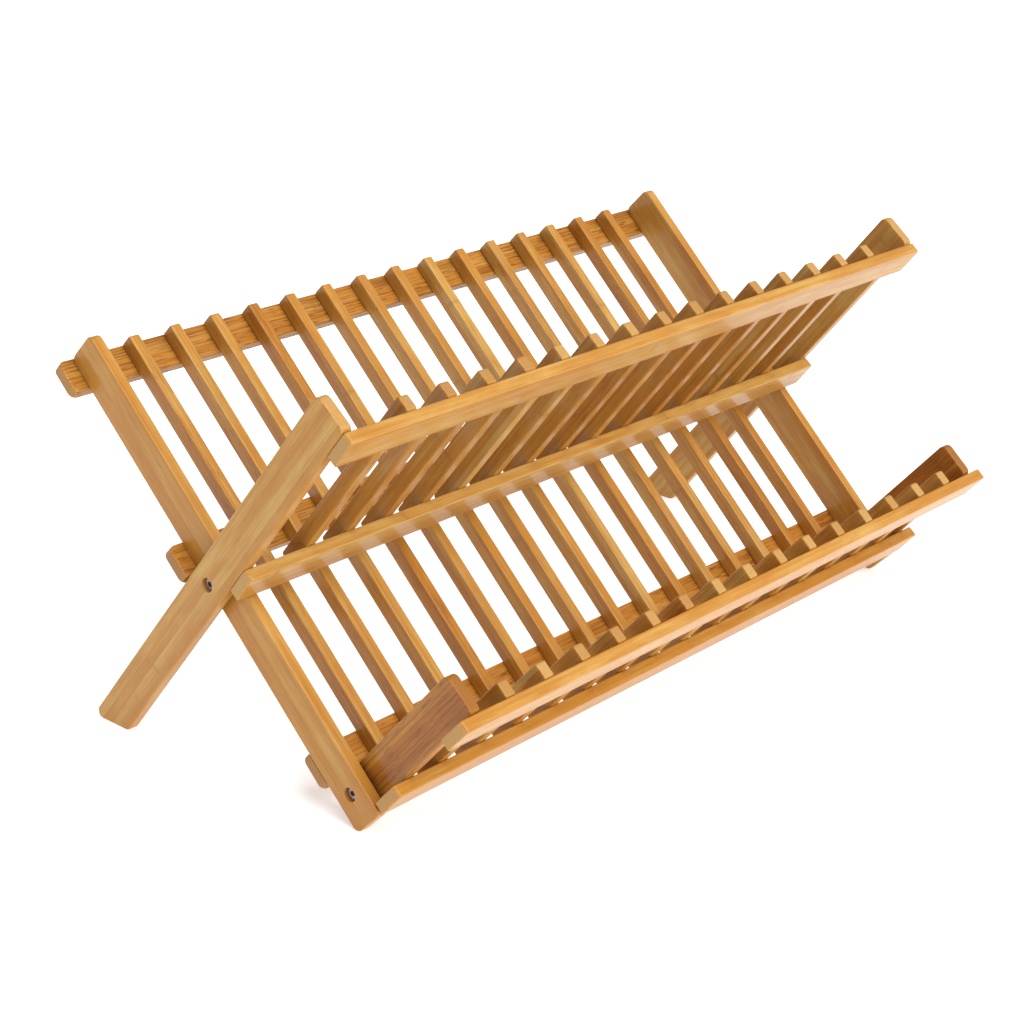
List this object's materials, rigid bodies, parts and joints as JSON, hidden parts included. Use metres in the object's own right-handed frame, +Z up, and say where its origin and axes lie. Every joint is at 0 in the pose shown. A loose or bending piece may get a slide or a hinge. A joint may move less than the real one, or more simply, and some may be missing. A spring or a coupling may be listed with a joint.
{
  "type": "folding plate rack",
  "caption": "Two-tier folding dish drying rack: three slatted wooden panels that cross and open on pivot bolts to hold plates on edge.",
  "frame": {"origin": "on the floor under the middle of the open rack's bounding box", "axes": "+X to the right along the crossbars seen from the front, +Y to the back, +Z up"},
  "size_m": [0.5, 0.2948, 0.2324],
  "materials": {
    "bamboo": "clear satin to gloss lacquer over straight-grained bamboo",
    "bolt_steel": "dull plated steel, hexagon socket",
    "washer_nylon": "natural nylon, matte"
  },
  "bodies": {
    "main_frame": {"main_bottom_bar": "bamboo", "main_middle_bar": "bamboo", "main_rail_left": "bamboo", "main_rail_right": "bamboo", "main_slat_01": "bamboo", "main_slat_02": "bamboo", "main_slat_03": "bamboo", "main_slat_04": "bamboo", "main_slat_05": "bamboo", "main_slat_06": "bamboo", "main_slat_07": "bamboo", "main_slat_08": "bamboo", "main_slat_09": "bamboo", "main_slat_10": "bamboo", "main_slat_11": "bamboo", "main_slat_12": "bamboo", "main_slat_13": "bamboo", "main_slat_14": "bamboo", "main_slat_15": "bamboo", "main_top_bar": "bamboo", "pivot_bolts": "bolt_steel", "pivot_washers": "washer_nylon"},
    "upper_rack": {"upper_bottom_bar": "bamboo", "upper_leg_left": "bamboo", "upper_leg_right": "bamboo", "upper_slat_01": "bamboo", "upper_slat_02": "bamboo", "upper_slat_03": "bamboo", "upper_slat_04": "bamboo", "upper_slat_05": "bamboo", "upper_slat_06": "bamboo", "upper_slat_07": "bamboo", "upper_slat_08": "bamboo", "upper_slat_09": "bamboo", "upper_slat_10": "bamboo", "upper_slat_11": "bamboo", "upper_slat_12": "bamboo", "upper_slat_13": "bamboo", "upper_slat_14": "bamboo", "upper_slat_15": "bamboo", "upper_top_bar": "bamboo"},
    "lower_rack": {"lower_arm_left": "bamboo", "lower_arm_right": "bamboo", "lower_bottom_bar": "bamboo", "lower_slat_01": "bamboo", "lower_slat_02": "bamboo", "lower_slat_03": "bamboo", "lower_slat_04": "bamboo", "lower_slat_05": "bamboo", "lower_slat_06": "bamboo", "lower_slat_07": "bamboo", "lower_slat_08": "bamboo", "lower_slat_09": "bamboo", "lower_slat_10": "bamboo", "lower_slat_11": "bamboo", "lower_slat_12": "bamboo", "lower_slat_13": "bamboo", "lower_slat_14": "bamboo", "lower_slat_15": "bamboo", "lower_top_bar": "bamboo"}
  },
  "joints": [
    {"name": "upper_rack_fold", "type": "hinge", "parent": "main_frame", "child": "upper_rack", "pos_m": [0, 0.02726, 0.10994], "axis": [1, 0, 0], "range_deg": [-84.7, 0]},
    {"name": "lower_rack_fold", "type": "hinge", "parent": "main_frame", "child": "lower_rack", "pos_m": [0, -0.0673, 0.01928], "axis": [1, 0, 0], "range_deg": [-87, 0]}
  ]
}
